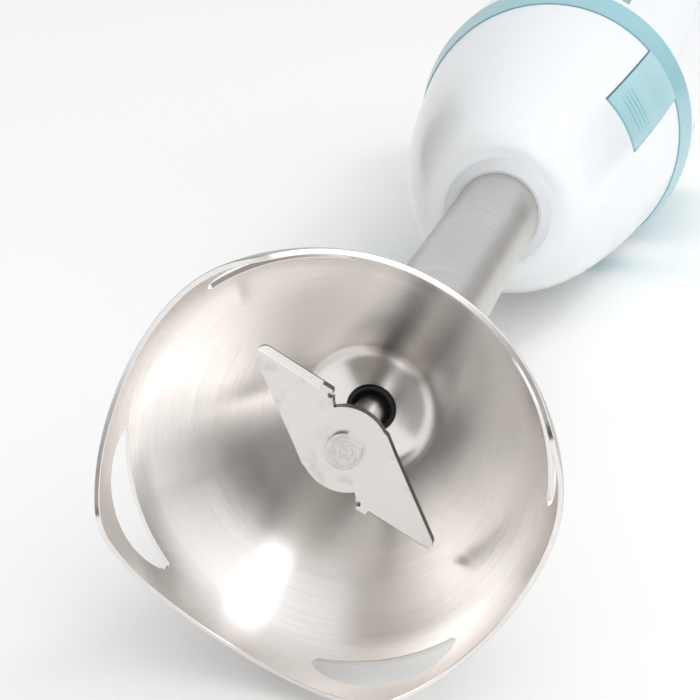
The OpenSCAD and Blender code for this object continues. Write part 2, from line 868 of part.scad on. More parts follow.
// Holes for both buttons, through the shell or the panel
module button_holes() {
    depth = panel_top - flat_in_r + 2;
    translate([flat_in_r - 1, 0, power_center]) rotate([0, 90, 0])
        cylinder(r = power_d / 2 + gap, h = depth);
    translate([flat_in_r - 1, 0, turbo_center]) rotate([0, 90, 0])
        cylinder(r = turbo_d / 2 + gap, h = depth);
}

module housing_back() color("#f5f7f8") place() facing(control_angle + 180) {
    difference() {
        union() {
            shell_half();
            screw_columns() cylinder(r = boss_r, h = boss_len);
        }
        shell_openings();
        screw_columns() {
            translate([0, 0, -1]) cylinder(r = screw_r + 0.2, h = body_r);
            translate([0, 0, screw_head_depth]) cylinder(r = screw_head_r + 0.2, h = body_r);
        }
        grip_sector(body_r - grip_t, body_r + 1, 0);
    }
}

module housing_screws() color("#9ea2a6") place() {
    facing(control_angle + 180) screw_columns() {
        translate([0, 0, -screw_reach + 0.5])
            cylinder(r = screw_r, h = screw_head_depth + screw_reach - 0.5 + eps);
        translate([0, 0, screw_head_depth]) difference() {
            cylinder(r = screw_head_r, h = screw_head_h);
            for (turn = [0, 90]) rotate(turn)
                translate([-0.4, -1.8, screw_head_h - 0.9]) cube([0.8, 3.6, 2]);
        }
    }
}

// A sector of a ring around +X that holds the soft grip
module grip_sector(r_in, r_out, inset) {
    reach = 2 * body_r;
    half = grip_half_angle - inset;
    translate([0, 0, grip_s + inset]) linear_extrude(grip_len - 2 * inset) intersection() {
        difference() {
            circle(r = r_out);
            circle(r = r_in);
        }
        polygon([[0, 0], [reach * cos(half), -reach * sin(half)],
            [reach * cos(half), reach * sin(half)]]);
    }
}

module soft_grip() color("#5fb3c4") place() facing(control_angle + 180) {
    pitch = grip_len / (grip_grooves + 1);
    difference() {
        grip_sector(body_r - grip_t, body_r, 0.1);
        for (i = [1:grip_grooves])
            pipe(body_r + 1, body_r - groove_depth,
                grip_s + i * pitch - groove_w / 2, grip_s + i * pitch + groove_w / 2);
    }
}

module band_ring() color("#8fbfc9") place() {
    difference() {
        translate([0, 0, ring_s]) cylinder(r1 = body_r - ring_flare, r2 = body_r, h = ring_w);
        rod(lip_out_r, ring_s - 1, shell_s + 1);
    }
}

// ---------- Release buttons ----------

// The tongue follows the cone, then a neck runs under the ring to the spring
module release_button(angle) {
    facing(angle) difference() {
        union() {
            intersection() {
                rotate_extrude() difference() {
                    cone_outline(release_proud, cone_s, cone_end);
                    cone_outline(release_proud - release_t, cone_s - 1, cone_end + 1);
                }
                block(0, body_r + 1, release_w, release_front, cone_end);
            }
            intersection() {
                rotate_extrude() cone_outline(release_proud, cone_s, cone_end);
                block(release_neck_in, body_r + 1, release_w, cone_end - release_block, cone_end);
            }
            intersection() {
                rod(release_neck_out, cone_end - 1, release_neck_end);
                block(release_neck_in, body_r, release_w, cone_end - 1, release_neck_end);
            }
            translate([release_neck_in - peg_len, 0, spring_s]) rotate([0, 90, 0])
                cylinder(r = peg_r, h = peg_len + 0.5);
        }
        for (i = [1:4])
            translate([0, 0, release_front + 4 + 3 * i])
                block(cone_r(release_front + 4 + 3 * i) + release_proud - 0.35,
                    body_r + 1, release_w - 3, -0.5, 0.5);
    }
}

module release_button_right() color("#bfe5ea") place() release_button(release_angle);
module release_button_left() color("#bfe5ea") place() release_button(release_angle + 180);

// ---------- Springs ----------

// Round wire wound into an open coil that stands on z = 0
function coil_ring(r, z, turn, wire, sides) =
    [for (k = [0:sides - 1]) let (a = 360 * k / sides)
        [(r + wire * cos(a)) * cos(turn), (r + wire * cos(a)) * sin(turn), z + wire * sin(a)]];

module coil_spring(r, wire, length, turns) {
    sides = 6;
    rings = turns * 14;
    points = [for (i = [0:rings])
        each coil_ring(r, wire + (length - 2 * wire) * i / rings, 360 * turns * i / rings,
            wire, sides)];
    walls = [for (i = [0:rings - 1]) for (k = [0:sides - 1])
        let (a = i * sides + k, b = i * sides + (k + 1) % sides)
        each [[a, b, b + sides], [a, b + sides, a + sides]]];
    start = [[for (k = [sides - 1:-1:0]) k]];
    end = [[for (k = [0:sides - 1]) rings * sides + k]];
    polyhedron(points = points, faces = concat(walls, start, end));
}

module release_spring(angle) {
    length = release_neck_in - gap - release_pocket_floor;
    facing(angle) translate([release_pocket_floor, 0, spring_s]) rotate([0, 90, 0])
        coil_spring(release_spring_r, spring_wire_r, length, 6);
}

module release_spring_right() color("#b5b8bc") place() release_spring(release_angle);
module release_spring_left() color("#b5b8bc") place() release_spring(release_angle + 180);

module button_spring(center, r) {
    length = flange_top - flange_t - gap - board_top;
    facing(control_angle) translate([board_top, 0, center]) rotate([0, 90, 0])
        coil_spring(r, spring_wire_r, length, 4);
}

module power_spring() color("#b5b8bc") place() button_spring(power_center, 6);
module turbo_spring() color("#b5b8bc") place() button_spring(turbo_center, 5.2);

// ---------- Switches ----------

// Outline of the panel: a long plate with rounded ends around both buttons
module panel_outline(grow) {
    from = power_center - power_d / 2 - panel_margin;
    to = turbo_center + turbo_d / 2 + panel_margin;
    r = panel_w / 2;
    for (s = [from + r - 2, to - r + 2])
        intersection() {
            translate([0, s]) circle(r = r + grow);
            translate([-r - grow, from - grow]) square([2 * (r + grow), to - from + 2 * grow]);
        }
    translate([-r - grow, from + r - 2]) square([2 * (r + grow), to - from - 2 * r + 4]);
}

module control_panel() color("#dfe6e8") place() facing(control_angle) difference() {
    radial(flat_r - panel_seat, panel_top) panel_outline(0);
    button_holes();
}

// A round push button with a chamfered top and a flange that stops it under the shell
module push_button(d, center) {
    crown = 0.5;
    r = d / 2;
    facing(control_angle) translate([0, 0, center]) rotate([0, 90, 0]) rotate_extrude()
        polygon([[0, flange_top - flange_t], [r + flange_w, flange_top - flange_t],
            [r + flange_w, flange_top], [r, flange_top], [r, button_top - crown],
            [r - crown, button_top], [0, button_top]]);
}

module power_button() color("#5fb3c4") place() push_button(power_d, power_center);
module turbo_button() color("#f5f7f8") place() push_button(turbo_d, turbo_center);

module switch_board() color("#3f7d4f") place() facing(control_angle)
    block(board_top - board_t, board_top, board_w, board_s, board_end);

module micro_switches() color("#222426") place() facing(control_angle)
    for (center = [power_center, turbo_center]) {
        block(board_top, board_top + switch_h, switch_w,
            center - switch_w / 2, center + switch_w / 2);
        translate([board_top + switch_h - eps, 0, center]) rotate([0, 90, 0])
            cylinder(r = plunger_r, h = plunger_h + eps);
    }

// ---------- Rear cap ----------

module cap_outline(inset) {
    round_r = cap_round - inset;
    intersection() {
        translate([0, cap_s - 1]) square([body_r - inset, cap_len + 1 - inset]);
        union() {
            translate([0, cap_s - 1]) square([body_r - inset, cap_len + 1 - cap_round]);
            square([body_r - cap_round, cap_end - inset]);
            translate([body_r - cap_round, cap_end - cap_round]) circle(r = round_r);
        }
    }
}

module rear_cap() color("#f5f7f8") place() {
    difference() {
        union() {
            difference() {
                rotate_extrude() cap_outline(0);
                rotate_extrude() cap_outline(cap_wall);
                rod(2 * body_r, cap_s - 2, cap_s);
            }
            pipe(shell_in_r, shell_in_r - 2, cap_spigot_s, cap_s + cap_len / 3);
            facing(control_angle) translate([dial_x, 0, 0])
                rod(dial_r + gap + 1.2, cap_end - dial_recess - cap_wall, cap_end - eps);
        }
        facing(control_angle) translate([dial_x, 0, 0]) {
            rod(dial_r + gap, cap_end - dial_recess, cap_end + 1);
            rod(dial_stem_r + gap, cap_s, cap_end + 1);
        }
        facing(control_angle) translate([gland_x, 0, 0]) rod(gland_r, cap_s, cap_end + 1);
    }
}

module speed_dial() color("#8fbfc9") place() facing(control_angle) translate([dial_x, 0, 0]) {
    difference() {
        rod(dial_r, cap_end - dial_recess + gap, cap_end + dial_h);
        for (i = [0:dial_grooves - 1]) facing(i * 360 / dial_grooves)
            translate([dial_r + 0.5, 0, 0]) rod(1.1, cap_end + 0.5, cap_end + dial_h + 1);
        block(dial_r - 6, dial_r - 1.5, 1.2, cap_end + dial_h - 0.5, cap_end + dial_h + 1);
    }
    rod(dial_stem_r, cap_end - dial_recess - cap_wall - 5, cap_end - dial_recess + gap + eps);
}

module speed_control() color("#34373a") place() facing(control_angle)
    translate([dial_x, 0, 0]) {
        back_s = cap_end - dial_recess - cap_wall;
        pipe(control_r, dial_stem_r + shaft_fit, back_s - control_len, back_s);
    }

module cord_gland() color("#e8ebed") place() facing(control_angle) translate([gland_x, 0, 0])
    difference() {
        union() {
            rod(gland_r, cap_end - cap_wall - 3, total_len);
            rod(gland_flange_r, cap_end, cap_end + gland_flange_t);
            rod(gland_flange_r, cap_end - cap_wall - 3, cap_end - cap_wall);
        }
        rod(cord_d / 2, cap_s, total_len + 1);
    }

bell();
shaft_seal();
lower_bush();
upper_bush();
foot_tube();
tube_collar();
coupling_cone();
drive_shaft();
blade();
driven_coupler();
drive_coupler();
motor_shaft();
armature();
commutator();
cooling_fan();
motor_core();
field_coils();
front_bracket();
rear_bracket();
front_bearing();
rear_bearing();
brush_holders();
carbon_brushes();
motor_screws();
housing_front();
housing_back();
housing_screws();
band_ring();
soft_grip();
release_button_right();
release_button_left();
release_spring_right();
release_spring_left();
control_panel();
power_button();
turbo_button();
power_spring();
turbo_spring();
switch_board();
micro_switches();
rear_cap();
speed_dial();
speed_control();
cord_gland();
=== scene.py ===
import math

import bmesh
import bpy
from mathutils import Matrix, Vector


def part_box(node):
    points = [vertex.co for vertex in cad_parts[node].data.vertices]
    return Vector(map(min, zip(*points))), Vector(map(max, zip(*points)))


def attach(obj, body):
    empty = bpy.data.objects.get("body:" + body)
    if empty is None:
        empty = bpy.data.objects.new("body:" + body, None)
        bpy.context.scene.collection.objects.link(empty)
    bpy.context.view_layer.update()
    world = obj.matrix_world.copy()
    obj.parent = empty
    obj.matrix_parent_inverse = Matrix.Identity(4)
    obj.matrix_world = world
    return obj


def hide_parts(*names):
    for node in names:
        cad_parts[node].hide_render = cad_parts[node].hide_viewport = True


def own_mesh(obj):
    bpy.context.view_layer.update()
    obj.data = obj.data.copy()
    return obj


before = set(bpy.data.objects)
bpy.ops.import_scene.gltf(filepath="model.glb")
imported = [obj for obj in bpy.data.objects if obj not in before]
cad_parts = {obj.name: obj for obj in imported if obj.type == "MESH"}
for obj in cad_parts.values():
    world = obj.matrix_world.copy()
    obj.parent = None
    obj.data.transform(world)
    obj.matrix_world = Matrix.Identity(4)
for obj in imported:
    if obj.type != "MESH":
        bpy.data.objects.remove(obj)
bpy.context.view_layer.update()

# ---------------------------------------------------------------------------
# Camera. It looks down into the open mouth of the bell from close in front of
# it, with the handle running away to the upper right.

camera = bpy.data.objects.new("camera", bpy.data.cameras.new("camera"))
bpy.context.scene.collection.objects.link(camera)
camera.data.sensor_width = 36
camera.data.lens = 102.86
camera.data.clip_start = 0.01
eye = (0.0576, -0.438, 0.1315)
look_right = Vector((0.9765, 0.2154, 0))
look_down = Vector((0.0642, -0.2909, -0.9546))
look_ahead = Vector((-0.2057, 0.9322, -0.2979))
aimed = Matrix((look_right, -look_down, -look_ahead)).transposed()
camera.matrix_world = Matrix.Translation(eye) @ aimed.to_4x4()
bpy.context.scene.camera = camera
bpy.context.scene.view_settings.view_transform = "Standard"

# ---------------------------------------------------------------------------
# Studio. The blender lies on a sweep of white paper. The paper's matt face takes
# the contact shadows, and a little light of its own takes it up to plain white.


def srgb(code):
    """A hex colour as Blender's linear RGBA"""
    channels = [int(code[i:i + 2], 16) / 255 for i in (1, 3, 5)]
    return [c / 12.92 if c <= 0.04045 else ((c + 0.055) / 1.055) ** 2.4 for c in channels] + [1.0]


def new_material(name):
    """An empty node material, and its node tree"""
    material = bpy.data.materials.new(name)
    material.use_nodes = True
    material.node_tree.nodes.clear()
    return material, material.node_tree


def put(tree, kind, sockets=None, **settings):
    """Adds a node to the tree with its settings, and fills its sockets with values or links"""
    node = tree.nodes.new(kind)
    for name, value in settings.items():
        setattr(node, name, value)
    for name, value in (sockets or {}).items():
        if isinstance(value, bpy.types.NodeSocket):
            tree.links.new(value, node.inputs[name])
        else:
            node.inputs[name].default_value = value
    return node


def link_mesh(name, vertices, faces, material):
    """A smooth mesh object in metres from points and faces, with its material"""
    mesh = bpy.data.meshes.new(name)
    mesh.from_pydata([tuple(v) for v in vertices], [], faces)
    mesh.validate()
    for polygon in mesh.polygons:
        polygon.use_smooth = True
    mesh.materials.append(material)
    piece = bpy.data.objects.new(name, mesh)
    bpy.context.scene.collection.objects.link(piece)
    return piece


# matt paper: an even white that takes soft shadows and no gloss
sweep_white, tree = new_material("white_sweep_paper")
paper = put(tree, "ShaderNodeBsdfDiffuse", {"Color": srgb("#f5f5f4")})
# the glow is for what is seen of the paper, by the camera or in metal, and lights nothing
glow = 0.12
rays = put(tree, "ShaderNodeLightPath").outputs
seen = put(tree, "ShaderNodeMath", {
    0: rays["Is Camera Ray"], 1: rays["Is Glossy Ray"]}, operation="ADD").outputs[0]
strength = put(tree, "ShaderNodeMath", {0: seen, 1: glow}, operation="MULTIPLY").outputs[0]
lift = put(tree, "ShaderNodeEmission", {"Color": srgb("#fffefd"), "Strength": strength})
both = put(tree, "ShaderNodeAddShader", {0: paper.outputs[0], 1: lift.outputs[0]})
put(tree, "ShaderNodeOutputMaterial", {"Surface": both.outputs[0]})
reach = 6
sweep = link_mesh(
    "sweep", [(-reach, -reach, 0), (reach, -reach, 0), (reach, reach, 0), (-reach, reach, 0)],
    [(0, 1, 2, 3)], sweep_white)

# The room, which the metal mirrors. Each thing in it has the direction that it lies in,
# the cosines from there at which its soft edge begins and is full, and its tone.
bright_window = ((0.35, -0.85, 0.35), 0.62, 0.88, "#ffffff")
dim_wall = ((-0.65, -0.35, 0.65), 0.8, 0.95, "#857c75")
left_doorway = ((-0.85, 0.5, 0.15), 0.8, 0.93, "#5c5855")
right_doorway = ((0.75, 0.65, 0.1), 0.86, 0.95, "#66625f")
dark_gap_in_front = ((-0.22, -0.97, 0.09), 0.84, 0.95, "#0f0d0c")
walls, room_level, backdrop_level = "#cfd1d3", 1.42, 1.0

world = bpy.data.worlds.new("studio")
bpy.context.scene.world = world
world.use_nodes = True
tree = world.node_tree
tree.nodes.clear()
toward = put(tree, "ShaderNodeTexCoord").outputs["Generated"]
shade = srgb(walls)
for centre, begins, full, tone in (
        bright_window, dim_wall, left_doorway, right_doorway, dark_gap_in_front):
    near = put(tree, "ShaderNodeVectorMath", {
        0: toward, 1: Vector(centre).normalized()}, operation="DOT_PRODUCT").outputs["Value"]
    cover = put(tree, "ShaderNodeMapRange", {
        0: near, 1: begins, 2: full}, interpolation_type="SMOOTHSTEP").outputs[0]
    shade = put(tree, "ShaderNodeMix", {
        "Factor": cover, "A": shade, "B": srgb(tone)}, data_type="RGBA").outputs[2]
room = put(tree, "ShaderNodeBackground", {"Color": shade, "Strength": room_level})
# the camera sees a plain backdrop of the far floor's tone, so no horizon shows
backdrop = put(tree, "ShaderNodeBackground", {
    "Color": srgb("#eeeeee"), "Strength": backdrop_level})
shown = put(tree, "ShaderNodeMixShader", {
    0: put(tree, "ShaderNodeLightPath").outputs["Is Camera Ray"],
    1: room.outputs[0], 2: backdrop.outputs[0]})
put(tree, "ShaderNodeOutputWorld", {"Surface": shown.outputs[0]})


def soft_lamp(name, place, aim, along, width, length, watts, mirrored):
    """A lamp aimed at a point, its long side along a direction; metal mirrors it or not"""
    lamp = bpy.data.lights.new(name, "AREA")
    lamp.shape = "RECTANGLE"
    lamp.size, lamp.size_y = width, length
    lamp.energy = watts
    lamp.use_nodes = True
    tree = lamp.node_tree
    tree.nodes.clear()
    # it is full in its middle and fades to nothing at its edges, as shares of its sides
    edge, core = 0.5, 0.12
    spot = put(tree, "ShaderNodeSeparateXYZ", {
        0: put(tree, "ShaderNodeNewGeometry").outputs["Parametric"]}).outputs
    level = 1.0
    for side in ("X", "Y"):
        out = put(tree, "ShaderNodeMath", {0: spot[side], 1: 0.5}, operation="SUBTRACT").outputs[0]
        off = put(tree, "ShaderNodeMath", {0: out}, operation="ABSOLUTE").outputs[0]
        fade = put(tree, "ShaderNodeMapRange", {
            0: off, 1: edge, 2: core}, interpolation_type="SMOOTHSTEP").outputs[0]
        level = put(tree, "ShaderNodeMath", {0: fade, 1: level}, operation="MULTIPLY").outputs[0]
    light = put(tree, "ShaderNodeEmission", {"Strength": level})
    put(tree, "ShaderNodeOutputLight", {"Surface": light.outputs[0]})
    holder = bpy.data.objects.new(name, lamp)
    bpy.context.scene.collection.objects.link(holder)
    holder.visible_glossy = mirrored
    back = (Vector(place) - Vector(aim)).normalized()
    across = Vector(along).cross(back).normalized()
    facing = Matrix((across, back.cross(across), back)).transposed()
    holder.matrix_world = Matrix.Translation(place) @ facing.to_4x4()


soft_lamp("key_lamp", place=(0.6, 0.15, 0.8), aim=(0, -0.1, 0.03), along=(0, 1, 0),
          width=0.3, length=0.4, watts=2.6, mirrored=False)
soft_lamp("strip_lamp", place=(0.42, -0.7, 0.72), aim=(0, -0.16, 0.03), along=(0.15, 1.0, 0.5),
          width=0.42, length=2.8, watts=5.2, mirrored=True)

# ---------------------------------------------------------------------------
# Bell. A cup pressed from 0.8 mm stainless sheet, scalloped and pierced with four
# windows, its cut edges tumbled round. It is brushed while it turns, so fine lines
# run round it and the light of the room smears across them in wedges.

axis_height = 0.0345
lobe_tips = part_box("bell")[0][1]


def about_axis(r, s, angle):
    """A point in metres from its radius about the tool's axis and its distance behind the
    lobe tips, both in millimetres, and its angle"""
    turn = math.radians(angle)
    return (r * math.cos(turn) / 1000, lobe_tips + s / 1000,
            axis_height - r * math.sin(turn) / 1000)


def round_the_axis(tree):
    """Sockets for a point's distance from the tool's axis, its direction from it, and its
    place along it"""
    place = put(tree, "ShaderNodeTexCoord").outputs["Object"]
    centred = put(tree, "ShaderNodeVectorMath", {
        0: place, 1: (0, 0, axis_height)}, operation="SUBTRACT").outputs[0]
    across = put(tree, "ShaderNodeVectorMath", {
        0: centred, 1: (1, 0, 1)}, operation="MULTIPLY").outputs[0]
    radius = put(tree, "ShaderNodeVectorMath", {0: across}, operation="LENGTH").outputs["Value"]
    direction = put(tree, "ShaderNodeVectorMath", {0: across}, operation="NORMALIZE").outputs[0]
    along = put(tree, "ShaderNodeSeparateXYZ", {0: place}).outputs["Y"]
    return radius, direction, along


def turned_metal(name, colour, line_colour, roughness, line_mm, depth_mm, anisotropy,
                 edge_mm=0.15, outside=None):
    """Metal finished while it turned: lines of one width run round the tool's axis. Real ones
    are about 0.05 mm apart, and are drawn as coarse as line_mm, so that they show."""
    round_scale, patches_a_metre = 1.6, 60.0
    noise_low, noise_high = 0.3, 0.7
    along_y = (0, 1, 0)
    material, tree = new_material(name)
    radius, direction, along = round_the_axis(tree)
    # on a tube the lines part along it, on a face across the axis by their radius
    arc = put(tree, "ShaderNodeMath", {0: along, 1: radius}, operation="SUBTRACT").outputs[0]
    arc_lines = put(tree, "ShaderNodeMath", {
        0: arc, 1: 1000 / line_mm}, operation="MULTIPLY").outputs[0]
    slow = put(tree, "ShaderNodeVectorMath", {
        0: direction, 3: round_scale}, operation="SCALE").outputs[0]
    lines_at = put(tree, "ShaderNodeVectorMath", {
        0: slow, 1: put(tree, "ShaderNodeCombineXYZ", {1: arc_lines}).outputs[0]},
        operation="ADD").outputs[0]
    lines = put(tree, "ShaderNodeTexNoise", {
        "Vector": lines_at, "Scale": 1.0, "Detail": 3.0}).outputs["Fac"]
    tone = put(tree, "ShaderNodeMapRange", {0: lines, 1: noise_low, 2: noise_high}).outputs[0]
    skin = put(tree, "ShaderNodeMix", {
        "Factor": tone, "A": srgb(line_colour), "B": srgb(colour)}, data_type="RGBA").outputs[2]
    if outside:
        # a cup's outer face, which looks away from the axis and back along the tool, is given a
        # darker grey than the inner one
        outward = put(tree, "ShaderNodeVectorMath", {
            0: direction, 1: along_y}, operation="ADD").outputs[0]
        facing = put(tree, "ShaderNodeVectorMath", {
            0: put(tree, "ShaderNodeTexCoord").outputs["Normal"], 1: outward},
            operation="DOT_PRODUCT").outputs["Value"]
        outer = put(tree, "ShaderNodeMath", {
            0: facing, 1: 0.0}, operation="GREATER_THAN").outputs[0]
        skin = put(tree, "ShaderNodeMix", {
            "Factor": outer, "A": skin, "B": srgb(outside)}, data_type="RGBA").outputs[2]
    # handling leaves slow patches a little duller and a little brighter
    patches = put(tree, "ShaderNodeTexNoise", {
        "Vector": put(tree, "ShaderNodeTexCoord").outputs["Object"],
        "Scale": patches_a_metre, "Detail": 2.0}).outputs["Fac"]
    worn = put(tree, "ShaderNodeMapRange", {
        0: patches, 1: noise_low, 2: noise_high,
        3: roughness * 0.85, 4: roughness * 1.15}).outputs[0]
    rounded = put(tree, "ShaderNodeBevel", {"Radius": edge_mm / 1000}, samples=4).outputs[0]
    bump = put(tree, "ShaderNodeBump", {
        "Strength": 0.3, "Distance": depth_mm / 1000, "Height": lines, "Normal": rounded})
    # the lines run at right angles to the axis and to the direction from it, and the
    # quarter turn smears light across them
    brushed_along = put(tree, "ShaderNodeVectorMath", {
        0: direction, 1: along_y}, operation="CROSS_PRODUCT").outputs[0]
    shader = put(tree, "ShaderNodeBsdfPrincipled", {
        "Base Color": skin, "Metallic": 1.0, "Roughness": worn, "Anisotropic": anisotropy,
        "Anisotropic Rotation": 0.25, "Tangent": brushed_along, "Normal": bump.outputs[0]})
    put(tree, "ShaderNodeOutputMaterial", {"Surface": shader.outputs[0]})
    return material


# a bright, nearly mirror-like inside with long smears of light, and a duller grey outside
bell_steel = turned_metal(
    "spun_stainless_steel", "#f5f1ef", "#edeae7", roughness=0.23, line_mm=0.35,
    depth_mm=0.003, anisotropy=0.86, edge_mm=0.0, outside="#b4b0ac")

# sizes in millimetres, stations counted back from the lobe tips, angles in degrees
sheet_thickness, edge_rounding = 0.8, 0.2
lobes, lobe_pitch, first_lobe = 4, 90, 75.3
skirt_round, skirt_middle, skirt_lean = 20.0, 12.5, math.radians(39.704)
roof_back, roof_round, shaft_hole = 34.4, 5.0, 3.7
# the rim's hollow between two lobes, and the round tip of a lobe
hollow_round, hollow_centre = 41.0, -34.7
tip_round, tip_half = 7.1, 3.27
# a window behind each lobe: a curved front edge, a straight back one, and round ends
window_station, window_half, window_end_round = 8.0, 11.0, 0.6
window_straight = 10.4
window_front_centre, window_front_round = 22.7, 18.2
window_back, window_end_station = 9.3, 8.7

right_angle = math.pi / 2
skirt_end = skirt_round * math.sin(skirt_lean)
skirt_end_r = skirt_middle + skirt_round * math.cos(skirt_lean)


def skirt_at(s):
    """Outside radius of the skirt"""
    return skirt_middle + math.sqrt(skirt_round ** 2 - s * s)


def rim_at(turn):
    """Station of the rim at an angle from the nearest lobe's tip, found in a few rounds,
    because the skirt's radius there depends on it"""
    s, rounds = 3.0, 12
    for _ in range(rounds):
        across = skirt_at(s) * math.sin(math.radians(lobe_pitch / 2 - turn))
        beside = skirt_at(s) * math.sin(math.radians(turn))
        hollow = hollow_centre + math.sqrt(hollow_round ** 2 - across ** 2)
        tip = tip_round - math.sqrt(tip_round ** 2 - beside ** 2) if beside < tip_half else 0.0
        s = max(hollow, tip)
    return s


def window_at(turn):
    """Stations of a window's front and back edge at an angle from its middle, or the same
    station twice beside it"""
    across = skirt_at(window_station) * math.sin(math.radians(turn))
    if across >= window_half:
        return window_end_station, window_end_station
    if across <= window_straight:
        return window_front_centre - math.sqrt(window_front_round ** 2 - across ** 2), window_back
    into_end = (across - window_straight) / window_end_round
    bulge = window_end_round * math.sqrt(1 - into_end ** 2)
    return window_end_station - bulge, window_end_station + bulge


# Columns of points, by their angle from a lobe's tip. They stand closest, from 19 to 21
# degrees, where the windows end.
half_lobe = [19 * i / 18 for i in range(18)]
half_lobe += [19 + 0.24 * i for i in range(7)]
half_lobe += [21 + i for i in range(25)]
columns = []
for lobe in range(lobes):
    tip_angle = first_lobe + lobe_pitch * lobe
    columns += [(tip_angle - turn, turn) for turn in half_lobe[:0:-1]]
    columns += [(tip_angle + turn, turn) for turn in half_lobe[:-1]]

# Behind the skirt the sheet runs on straight as a cone, bends round into the roof, and
# ends at the shaft's hole. The corner is where cone and roof would meet unrounded.
band_rows, skirt_rows, cone_rows, bend_rows, roof_rows = 5, 8, 14, 8, 4
corner_r = skirt_end_r - (roof_back - skirt_end) * math.tan(skirt_lean)
corner_set = roof_round * math.tan((right_angle - skirt_lean) / 2)
cone_last_r = corner_r + corner_set * math.sin(skirt_lean)
cone_last_s = roof_back - corner_set * math.cos(skirt_lean)
bend_r = corner_r - corner_set
behind_skirt = [(skirt_end_r + (cone_last_r - skirt_end_r) * i / cone_rows,
                 skirt_end + (cone_last_s - skirt_end) * i / cone_rows)
                for i in range(1, cone_rows + 1)]
for i in range(1, bend_rows + 1):
    lean = skirt_lean + (right_angle - skirt_lean) * i / bend_rows
    behind_skirt.append((bend_r + roof_round * math.cos(lean),
                         roof_back - roof_round + roof_round * math.sin(lean)))
behind_skirt += [(bend_r + (shaft_hole - bend_r) * i / roof_rows, roof_back)
                 for i in range(1, roof_rows + 1)]

points = []
for angle, turn in columns:
    rim, (front, back) = rim_at(turn), window_at(turn)
    stations = [rim + (front - rim) * i / band_rows for i in range(band_rows + 1)]
    stations += [back + (skirt_end - back) * i / skirt_rows for i in range(skirt_rows + 1)]
    points += [about_axis(skirt_at(s), s, angle) for s in stations]
    points += [about_axis(r, s, angle) for r, s in behind_skirt]
rows = len(points) // len(columns)
faces = []
for i in range(len(columns)):
    here, beyond = i * rows, (i + 1) % len(columns) * rows
    # no faces between a window's front and back edge
    faces += [(here + j, beyond + j, beyond + j + 1, here + j + 1)
              for j in range(rows - 1) if j != band_rows]
bell = link_mesh("pressed_bell", points, faces, bell_steel)
# beside the windows the two edges are one, and their points are joined
same_point = 0.02
shape = bmesh.new()
shape.from_mesh(bell.data)
bmesh.ops.remove_doubles(shape, verts=shape.verts, dist=same_point / 1000)
shape.to_mesh(bell.data)
shape.free()
sheet = bell.modifiers.new("sheet", "SOLIDIFY")
sheet.thickness, sheet.offset, sheet.use_even_offset = sheet_thickness / 1000, -1, True
edges = bell.modifiers.new("tumbled_edges", "BEVEL")
edges.width, edges.segments = edge_rounding / 1000, 2
edges.limit_method, edges.angle_limit = "ANGLE", math.radians(50)
edges.harden_normals = True
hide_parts("bell")
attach(bell, "foot")

# the sleeve behind the roof, which takes the tube: its outline as radius and station,
# turned about the axis
sleeve_outline = [
    (9.0, 33.4), (10.45, 33.0), (10.1, 33.5), (9.85, 34.1), (9.68, 34.9), (9.6, 36), (9.6, 42),
    (9.6, 49.3), (9.54, 49.6), (9.36, 49.77), (9.2, 49.8), (8.72, 49.8), (8.72, 40), (8.72, 34.9)]
sleeve_steps, ring = 96, len(sleeve_outline)
points, faces = [], []
for i in range(sleeve_steps):
    here, beyond = i * ring, (i + 1) % sleeve_steps * ring
    points += [about_axis(r, s, 360 * i / sleeve_steps) for r, s in sleeve_outline]
    faces += [(here + j, beyond + j, beyond + (j + 1) % ring, here + (j + 1) % ring)
              for j in range(ring)]
sleeve = link_mesh("bell_sleeve", points, faces, bell_steel)
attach(sleeve, "foot")

# ---------------------------------------------------------------------------
# Seal and bushes. A black lip seal keeps food out of the tube. Behind it, at the
# tube's top and round the motor's shaft sit sintered bronze bushes, oiled.


def dress(material, *nodes):
    """Gives CAD nodes a material in the slots that they have"""
    for name in nodes:
        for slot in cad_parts[name].material_slots:
            slot.material = material


def fine_grained(name, colour, second, roughness, grain_mm, depth_mm, metallic=0.0,
                 patch_mm=14.0, edge_mm=0.2):
    """A moulded, cast or sintered surface: fine grain, and slow patches of a second colour.
    Real grain is about 0.05 mm wide, and is drawn as coarse as grain_mm, so that it shows."""
    cloud_low, cloud_high, noise_low, noise_high = 0.35, 0.65, 0.3, 0.7
    material, tree = new_material(name)
    place = put(tree, "ShaderNodeTexCoord").outputs["Object"]
    grain = put(tree, "ShaderNodeTexNoise", {
        "Vector": place, "Scale": 1000 / grain_mm, "Detail": 2.0}).outputs["Fac"]
    cloud = put(tree, "ShaderNodeTexNoise", {
        "Vector": place, "Scale": 1000 / patch_mm, "Detail": 1.0}).outputs["Fac"]
    part = put(tree, "ShaderNodeMapRange", {
        0: cloud, 1: cloud_low, 2: cloud_high}).outputs[0]
    skin = put(tree, "ShaderNodeMix", {
        "Factor": part, "A": srgb(colour), "B": srgb(second)}, data_type="RGBA").outputs[2]
    gloss = put(tree, "ShaderNodeMapRange", {
        0: cloud, 1: noise_low, 2: noise_high,
        3: roughness * 0.9, 4: roughness * 1.1}).outputs[0]
    rounded = put(tree, "ShaderNodeBevel", {"Radius": edge_mm / 1000}, samples=4).outputs[0]
    bump = put(tree, "ShaderNodeBump", {
        "Strength": 0.3, "Distance": depth_mm / 1000, "Height": grain, "Normal": rounded})
    shader = put(tree, "ShaderNodeBsdfPrincipled", {
        "Base Color": skin, "Metallic": metallic, "Roughness": gloss, "Normal": bump.outputs[0]})
    put(tree, "ShaderNodeOutputMaterial", {"Surface": shader.outputs[0]})
    return material


# nearly black, with the soft dull sheen of rubber
seal_rubber = fine_grained("moulded_nitrile_rubber", "#141415", "#1b1b1c", roughness=0.5,
                           grain_mm=0.15, depth_mm=0.01)
dress(seal_rubber, "shaft_seal")
